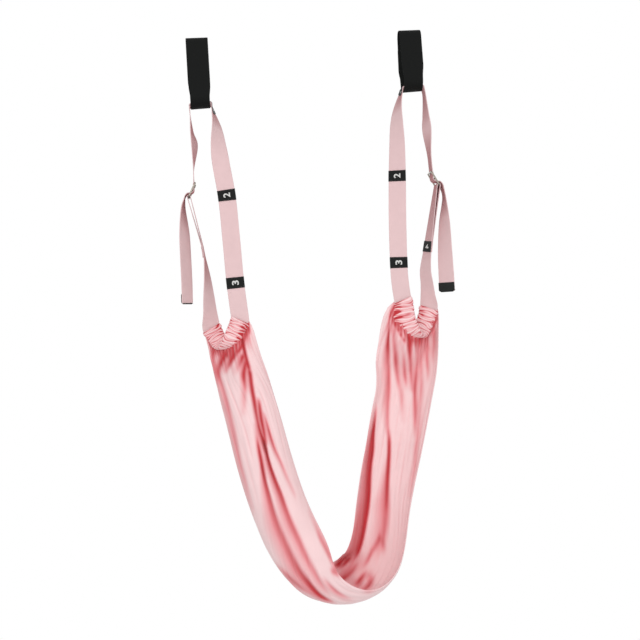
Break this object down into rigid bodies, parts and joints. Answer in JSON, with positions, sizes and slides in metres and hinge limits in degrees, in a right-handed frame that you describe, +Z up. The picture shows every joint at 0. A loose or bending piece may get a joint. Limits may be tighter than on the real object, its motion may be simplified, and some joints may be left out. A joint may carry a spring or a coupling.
{
  "type": "yoga trapeze swing",
  "caption": "Yoga swing: a gathered cloth hammock hangs in a V from buckled webbing straps, and each strap hangs in a black webbing loop that goes over a bar.",
  "frame": {"origin": "on the axis of the bar that the swing hangs on, midway between its two hanger loops", "axes": "+X along the bar to the viewer's right, +Z up, -Y towards the viewer"},
  "size_m": [0.6348, 0.2018, 1.3057],
  "materials": {
    "hanger_webbing": "matte woven webbing",
    "strap_webbing": "matte woven webbing",
    "label": "satin woven tape",
    "thread": "satin stitched thread",
    "end_tape": "matte folded tape",
    "buckle_steel": "satin nickel",
    "hammock_cloth": "soft knitted cloth"
  },
  "bodies": {
    "hangers": {"left_hanger_webbing": "hanger_webbing", "left_hanger_lap": "hanger_webbing", "left_hanger_bartack": "thread", "right_hanger_webbing": "hanger_webbing", "right_hanger_lap": "hanger_webbing", "right_hanger_bartack": "thread"},
    "sling": {"left_strap": "strap_webbing", "left_strap_bartack": "thread", "left_label_1": "label", "left_label_2": "label", "left_label_3": "label", "left_buckle": "buckle_steel", "left_channel": "hammock_cloth", "right_strap": "strap_webbing", "right_strap_bartack": "thread", "right_label_1": "label", "right_label_2": "label", "right_label_3": "label", "right_label_4": "label", "right_buckle": "buckle_steel", "right_channel": "hammock_cloth", "hammock": "hammock_cloth"},
    "left_tail": {"left_tail": "strap_webbing", "left_tail_tip": "end_tape"},
    "right_tail": {"right_tail": "strap_webbing", "right_tail_tip": "end_tape"}
  },
  "joints": [
    {"name": "sling_swing", "type": "hinge", "parent": "hangers", "child": "sling", "pos_m": [0, 0, -0.1053], "axis": [0.9992, 0, 0.0389], "range_deg": [-35, 35]},
    {"name": "left_tail_swing", "type": "hinge", "parent": "sling", "child": "left_tail", "pos_m": [-0.27967, 0, -0.33282], "axis": [0, 1, 0], "range_deg": [0, 70]},
    {"name": "right_tail_swing", "type": "hinge", "parent": "sling", "child": "right_tail", "pos_m": [0.28777, 0, -0.33282], "axis": [0, -1, 0], "range_deg": [0, 70]}
  ]
}
